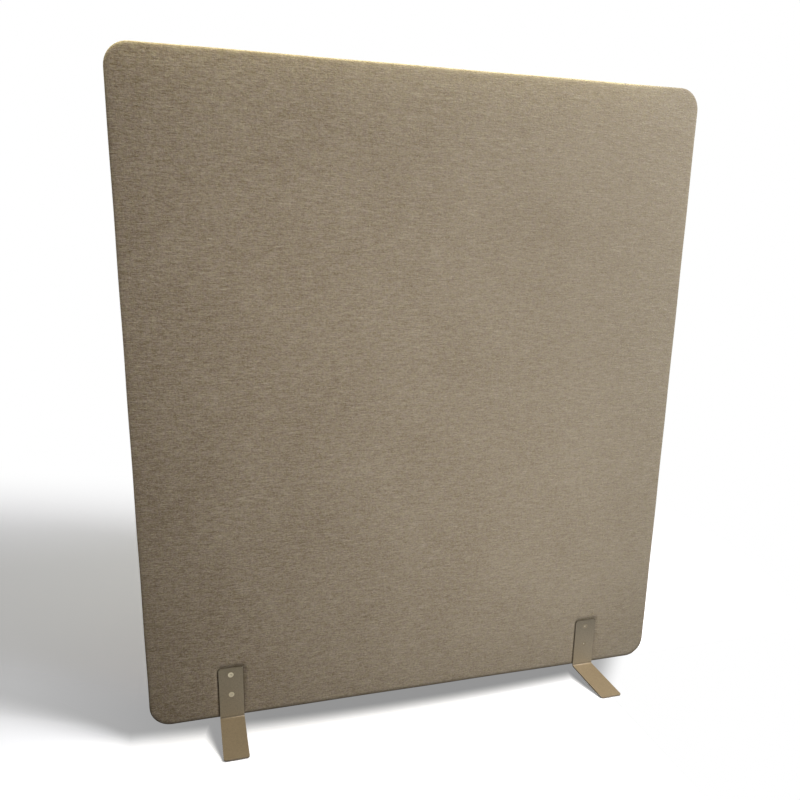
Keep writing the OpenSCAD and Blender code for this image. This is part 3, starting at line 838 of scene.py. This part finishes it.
for name, side in (("front_cover", -1), ("back_cover", 1)):
    points, faces, fans, uv = tray(cloth_xs, cloth_zs, cloth_section, face_out - plate_play, side)
    cover = new_piece(name + "_cloth", points, faces, melange, uv, fans)

    # This attribute holds painted shade: the cloth is darkened beside and above the plates, where it
    # dips, and along the lower rim, where it turns under.
    above = np.clip((points[:, 2] - plate_top) / crease_reach, 0, 1)
    far = np.maximum(plate_distance(points[:, 0], points[:, 2]), 0)
    gap = far / (crease_reach * (1 + above))
    painted_shade_amount = crease_depth * np.clip(1 - gap, 0, 1)
    painted_shade_amount = np.maximum(painted_shade_amount, shade_above * above * np.clip(1 - far / shade_reach, 0, 1))
    painted_shade_amount = np.where(np.abs(points[:, 1]) > face_out / 2, painted_shade_amount, 0)
    round_x = np.maximum(np.abs(points[:, 0]) - straight_x, 0)
    round_z = np.maximum(straight_low - points[:, 2], 0)
    from_centre = np.maximum(np.hypot(round_x, round_z), 1e-6)
    at_rim = np.clip(1 - (corner_r - from_centre) / rim_height, 0, 1) * round_z / from_centre
    painted_shade_amount = np.maximum(painted_shade_amount, rim_painted_shade * at_rim)
    crease_share = cover.data.attributes.new("painted_crease_and_rim_shade", "FLOAT", "POINT").data
    crease_share.foreach_set("value", painted_shade_amount.astype(np.float32))
    thick = cover.modifiers.new("thickness", "SOLIDIFY")
    thick.thickness = cloth_t
    thick.offset = -1
    thick.use_even_offset = True
    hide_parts(name)


# Wadding: white polyester fleece, laid over each face and round the edge under the cloth. It is a
# tray that fills the room between the timber frame and the cloth, and the feet press it flat.

fleece_white = linear("#efece3")
fleece_shade = linear("#c9c5b8")
tuft_mm = 9.0

fleece, tree, shader = new_material("polyester_wadding", Roughness=1.0, Specular_IOR_Level=0.1)
place = add(tree, "ShaderNodeTexCoord")
tufts = add(tree, "ShaderNodeTexNoise",
            {"Vector": place.outputs["Object"], "Scale": 1000 / tuft_mm, "Detail": 5.0,
             "Roughness": 0.7})
colour = add(tree, "ShaderNodeMixRGB",
             {"Fac": tufts.outputs["Fac"], "Color1": fleece_shade, "Color2": fleece_white})
tree.links.new(colour.outputs[0], shader.inputs["Base Color"])
bump = add(tree, "ShaderNodeBump", {"Height": tufts.outputs["Fac"], "Strength": 0.9, "Distance": 0.001})
tree.links.new(bump.outputs[0], shader.inputs["Normal"])

frame_low, frame_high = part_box("left_stile")
frame_inset = frame_low.x + half_w
frame_out = frame_high.y
wadding_play = 0.0001
wadding_step = 0.016

wadding_xs = np.concatenate([
    lines(x_marks[i:i + 2], wadding_step / 2 if i % 2 else wadding_step)[:-1] for i in range(5)
] + [[straight_x]])
wadding_zs = lines([straight_low, plate_top + 2 * dip_reach, straight_high], wadding_step)
wadding_start = cloth_t + wadding_play
outer_depth = face_out - cloth_t - wadding_play
outer_section = edge_curve(wadding_start, wadding_start, edge_reach - wadding_start, outer_depth,
                           edge_power, 14)
inner_inset = frame_inset + wadding_play / 2
inner_out = frame_out + wadding_play / 2
inner_section = np.array([
    [inner_inset, wadding_start], [inner_inset, inner_out / 2], [inner_inset, inner_out],
    [2 * inner_inset, inner_out], [edge_reach, inner_out],
])

for name, side in (("front_wadding", -1), ("back_wadding", 1)):
    outer, faces, fans, _ = tray(wadding_xs, wadding_zs, outer_section, outer_depth, side)
    inner, inner_faces, inner_fans, _ = tray(wadding_xs, wadding_zs, inner_section, 1.0, side)
    around = len(loop(wadding_xs, wadding_zs, 0)[0])
    start = np.arange(around)
    ahead = np.roll(start, -1)
    rim = np.stack([start + len(outer), ahead + len(outer), ahead, start], 1)
    rim = rim[:, ::-1] if side > 0 else rim
    quads = np.concatenate([faces, inner_faces[:, ::-1] + len(outer), rim])
    triangles = np.concatenate([fans, inner_fans[:, ::-1] + len(outer)])
    pad = new_piece(name + "_fleece", np.concatenate([outer, inner]), quads, fleece, None, triangles)
    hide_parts(name)


# Seam thread: spun polyester, overlocked round the raw edges of the turned-in cloth. It is in the
# cloth's own colour and slightly glossy.

thread_light = linear("#857863")
thread_dark = linear("#564c3d")
ply_turn_mm = 1.2

thread, tree, shader = new_material("spun_polyester_thread", Roughness=0.6, Sheen_Weight=0.2)
place = add(tree, "ShaderNodeTexCoord")
twist = add(tree, "ShaderNodeTexWave",
            {"Vector": place.outputs["Object"], "Scale": 2 * wave_mm / ply_turn_mm, "Distortion": 0.5},
            bands_direction="DIAGONAL")
colour = add(tree, "ShaderNodeMixRGB",
             {"Fac": twist.outputs["Fac"], "Color1": thread_dark, "Color2": thread_light})
tree.links.new(colour.outputs[0], shader.inputs["Base Color"])
bump = add(tree, "ShaderNodeBump", {"Height": twist.outputs["Fac"], "Strength": 0.6, "Distance": 0.0002})
tree.links.new(bump.outputs[0], shader.inputs["Normal"])
wear(thread, "seam_thread")


# Closing strip: black non-woven tape, stapled over the raw edges of the cloth along the underside.
# Its pressed fibres show as short crossing lines with small embossed dots.

tape_black = linear("#2b2a29")
tape_grey = linear("#4a4845")
tape_fibre_mm = (3.33, 0.833)
emboss_mm = 1.6

tape, tree, shader = new_material("non_woven_tape", Roughness=0.85, Specular_IOR_Level=0.3)
place = add(tree, "ShaderNodeTexCoord")
felted = add(tree, "ShaderNodeMapping",
             {"Vector": place.outputs["Object"],
              "Scale": (1000 / tape_fibre_mm[0], 1000 / tape_fibre_mm[1], 1000 / tape_fibre_mm[0])})
felted = add(tree, "ShaderNodeTexNoise", {"Vector": felted.outputs[0], "Scale": 1.0, "Detail": 4.0})
dots = add(tree, "ShaderNodeTexVoronoi",
           {"Vector": place.outputs["Object"], "Scale": 1000 / emboss_mm, "Randomness": 0.25})
colour = add(tree, "ShaderNodeMixRGB",
             {"Fac": felted.outputs["Fac"], "Color1": tape_black, "Color2": tape_grey})
tree.links.new(colour.outputs[0], shader.inputs["Base Color"])
bump = add(tree, "ShaderNodeBump",
           {"Height": dots.outputs["Distance"], "Strength": 0.7, "Distance": 0.0003})
tree.links.new(bump.outputs[0], shader.inputs["Normal"])
wear(tape, "closing_strip")


# Feet: flat steel, 52 x 3 mm, bent to an L and powder-coated in a satin champagne. The coat has a
# faint orange peel and a metallic grain, drawn coarser than it is so that it shows. Its colour also
# holds painted light and shade: the legs are painted a warmer, lighter gold than the uprights, the
# right-hand legs paler, the uprights darker towards the top, and a leg's cut edges darker.

leg_painted_lit_left = linear("#948368")
leg_painted_lit_right = linear("#a18e71")
cut_edge_painted_shade = 0.45
plate_painted_lit_low = linear("#918570")
plate_painted_shade_high_left = linear("#716753")
plate_painted_shade_high_right = linear("#6a6151")
bend_z = (0.0055, 0.0105)
grain_mm = 3.2
peel_mm = 2.6
flake_range = (0.65, 1.35)
satin_range = (0.36, 0.5)
edge_round = 0.0003

powder_coat, tree, shader = new_material("champagne_powder_coat", Metallic=0.1, Roughness=0.42)
place = add(tree, "ShaderNodeTexCoord")
axes = add(tree, "ShaderNodeSeparateXYZ", {0: place.outputs["Object"]})
# Painted light and shade: the uprights run from lighter at the bend to darker at the top, the legs are
# lighter and paler on the right, and their cut edges are shaded.
upright = add(tree, "ShaderNodeMapRange",
              {"Value": axes.outputs[2], "From Min": bend_z[0], "From Max": bend_z[1]})
height = add(tree, "ShaderNodeMapRange",
             {"Value": axes.outputs[2], "From Min": bend_z[1], "From Max": plate_top})
across = add(tree, "ShaderNodeMapRange",
             {"Value": axes.outputs[0], "From Min": -foot_x, "From Max": foot_x})
top = add(tree, "ShaderNodeMixRGB",
          {"Fac": across.outputs[0], "Color1": plate_painted_shade_high_left, "Color2": plate_painted_shade_high_right})
plate = add(tree, "ShaderNodeMixRGB",
            {"Fac": height.outputs[0], "Color1": plate_painted_lit_low, "Color2": top.outputs[0]})
leg = add(tree, "ShaderNodeMixRGB", {"Fac": across.outputs[0], "Color1": leg_painted_lit_left, "Color2": leg_painted_lit_right})
facing = add(tree, "ShaderNodeNewGeometry")
facing = add(tree, "ShaderNodeSeparateXYZ", {0: facing.outputs["Normal"]})
facing = add(tree, "ShaderNodeMapRange",
             {"Value": facing.outputs[2], "From Min": 0.3, "From Max": 0.8, "To Min": cut_edge_painted_shade})
leg = add(tree, "ShaderNodeMixRGB", {"Fac": 1.0, "Color1": leg.outputs[0], "Color2": facing.outputs[0]},
          blend_type="MULTIPLY")
coat = add(tree, "ShaderNodeMixRGB",
           {"Fac": upright.outputs[0], "Color1": leg.outputs[0], "Color2": plate.outputs[0]})
grain = add(tree, "ShaderNodeTexNoise",
            {"Vector": place.outputs["Object"], "Scale": 1000 / grain_mm, "Detail": 3.0,
             "Roughness": 0.7})
peel = add(tree, "ShaderNodeTexNoise",
           {"Vector": place.outputs["Object"], "Scale": 1000 / peel_mm, "Detail": 1.0})
flake = add(tree, "ShaderNodeMapRange",
            {"Value": grain.outputs["Fac"], "To Min": flake_range[0], "To Max": flake_range[1]})
coat = add(tree, "ShaderNodeMixRGB", {"Fac": 1.0, "Color1": coat.outputs[0], "Color2": flake.outputs[0]},
           blend_type="MULTIPLY")
tree.links.new(coat.outputs[0], shader.inputs["Base Color"])
satin = add(tree, "ShaderNodeMapRange",
            {"Value": grain.outputs["Fac"], "To Min": satin_range[0], "To Max": satin_range[1]})
tree.links.new(satin.outputs[0], shader.inputs["Roughness"])
bump = add(tree, "ShaderNodeBump", {"Height": peel.outputs["Fac"], "Strength": 0.3, "Distance": 0.0001})
tree.links.new(bump.outputs[0], shader.inputs["Normal"])

feet = [f"{side}_{face}_foot" for side in ("left", "right") for face in ("front", "back")]
wear(powder_coat, *feet)
for name in feet:
    weld = nodes[name].modifiers.new("weld", "WELD")
    weld.merge_threshold = 0.00001
    rounded = nodes[name].modifiers.new("edges", "BEVEL")
    rounded.width = edge_round
    rounded.segments = 2
    rounded.limit_method = "ANGLE"
    rounded.angle_limit = radians(50)
    rounded.harden_normals = True


# Foot screws: countersunk M6 steel screws with a hexagon socket, nickel-plated. The left-hand ones
# are painted brighter than the right-hand ones, which are nearly the colour of the coated steel, as
# painted reflection. The floor of each socket is painted pale, as a painted glint.

nickel_painted_bright = (linear("#d6cbb0"), linear("#c5ba9f"))
nickel_painted_dim = (linear("#8c806b"), linear("#786d57"))
socket_glint_left = linear("#cfc8b6")
socket_glint_right = linear("#c4bdad")
socket_from = 0.0006
haze_mm = 0.7

# The left and right screws differ only by painted reflection, and the socket colour is a painted glint.
for screw_material, pale, dark, socket_painted_glint, side in (
    ("nickel_plated_steel", *nickel_painted_bright, socket_glint_left, "left"),
    ("nickel_plated_steel_painted_dim", *nickel_painted_dim, socket_glint_right, "right"),
):
    nickel, tree, shader = new_material(screw_material, Metallic=0.3, Roughness=0.5)
    place = add(tree, "ShaderNodeTexCoord")
    haze = add(tree, "ShaderNodeTexNoise",
               {"Vector": place.outputs["Object"], "Scale": 1000 / haze_mm, "Detail": 3.0})
    colour = add(tree, "ShaderNodeMixRGB", {"Fac": haze.outputs["Fac"], "Color1": dark, "Color2": pale})
    axes = add(tree, "ShaderNodeSeparateXYZ", {0: place.outputs["Object"]})
    depth = add(tree, "ShaderNodeMath", {0: axes.outputs[1]}, operation="ABSOLUTE")
    inside = add(tree, "ShaderNodeMath", {0: depth.outputs[0], 1: -screw_low.y - socket_from},
                 operation="LESS_THAN")
    colour = add(tree, "ShaderNodeMixRGB",
                 {"Fac": inside.outputs[0], "Color1": colour.outputs[0], "Color2": socket_painted_glint})
    tree.links.new(colour.outputs[0], shader.inputs["Base Color"])
    wear(nickel, f"{side}_front_screws", f"{side}_back_screws")


# Foot pads: thin black felted rubber, glued under each foot, so that the steel doesn't scratch the
# floor. It is matt and slightly crumbly.

rubber_black = linear("#3a3836")
rubber_grey = linear("#565350")
crumb_mm = 1.2

rubber, tree, shader = new_material("cellular_rubber", Roughness=0.9, Specular_IOR_Level=0.3)
place = add(tree, "ShaderNodeTexCoord")
crumbs = add(tree, "ShaderNodeTexVoronoi",
             {"Vector": place.outputs["Object"], "Scale": 1000 / crumb_mm})
colour = add(tree, "ShaderNodeMixRGB",
             {"Fac": crumbs.outputs["Distance"], "Color1": rubber_black, "Color2": rubber_grey})
tree.links.new(colour.outputs[0], shader.inputs["Base Color"])
bump = add(tree, "ShaderNodeBump",
           {"Height": crumbs.outputs["Distance"], "Strength": 0.5, "Distance": 0.0002})
tree.links.new(bump.outputs[0], shader.inputs["Normal"])
wear(rubber, *[f"{side}_{face}_pad" for side in ("left", "right") for face in ("front", "back")])
